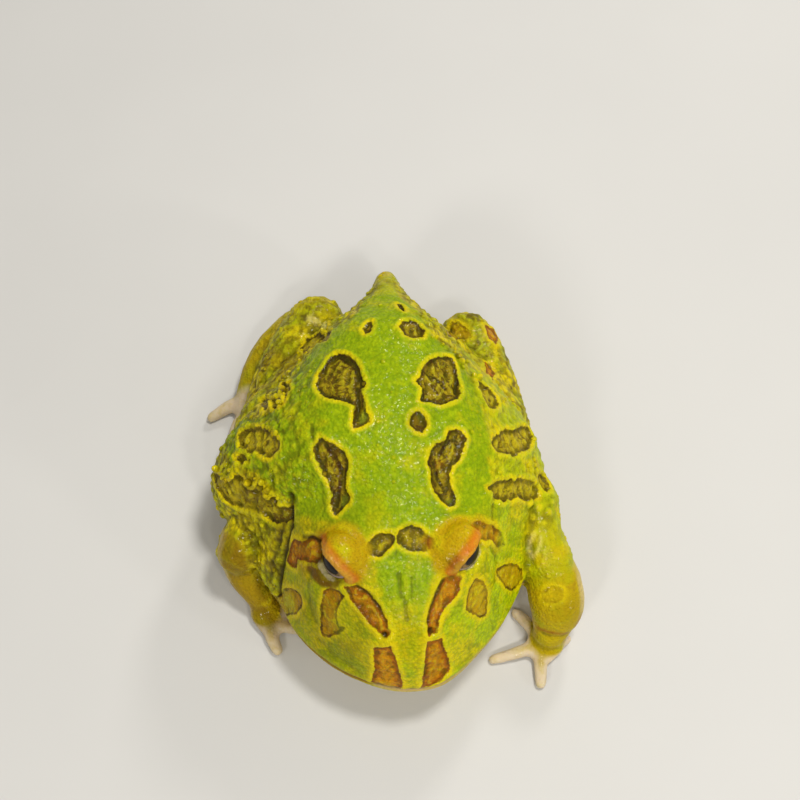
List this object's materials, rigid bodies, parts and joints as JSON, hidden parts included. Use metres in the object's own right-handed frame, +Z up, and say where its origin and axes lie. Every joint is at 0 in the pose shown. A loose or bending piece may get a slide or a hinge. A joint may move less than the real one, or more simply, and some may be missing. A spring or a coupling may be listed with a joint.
{
  "type": "argentine horned frog",
  "caption": "Squat horned frog at life size, sitting on its belly with folded legs; green back with olive-brown patches, wide mouth and thick raised eyelids.",
  "frame": {"origin": "on the flat of the belly that rests on the ground, half way between snout and vent", "axes": "+Z up, -Y the way the frog looks, +X to the frog's left"},
  "size_m": [0.0713, 0.0852, 0.0377],
  "materials": {
    "back_skin": "soft moist skin, bright green with olive-brown patches",
    "belly_skin": "soft moist skin, pale yellow",
    "limb_skin": "soft moist skin, yellow-olive with brown mottling",
    "lid_skin": "soft moist skin, yellow with an orange rim",
    "digit_skin": "soft moist skin, pale and slightly translucent",
    "eye": "wet and glossy, dark with a pale rim"
  },
  "bodies": {
    "root": {"torso": "back_skin", "head": "back_skin", "lower_jaw": "belly_skin", "eye_right": "eye", "eye_left": "eye", "eyelid_right": "lid_skin", "eyelid_left": "lid_skin", "upper_arm_right": "limb_skin", "upper_arm_left": "limb_skin", "forearm_right": "limb_skin", "forearm_left": "limb_skin", "hand_right": "digit_skin", "hand_left": "digit_skin", "thigh_right": "limb_skin", "thigh_left": "limb_skin", "shank_right": "limb_skin", "shank_left": "limb_skin", "foot_right": "digit_skin", "foot_left": "digit_skin"}
  },
  "joints": []
}
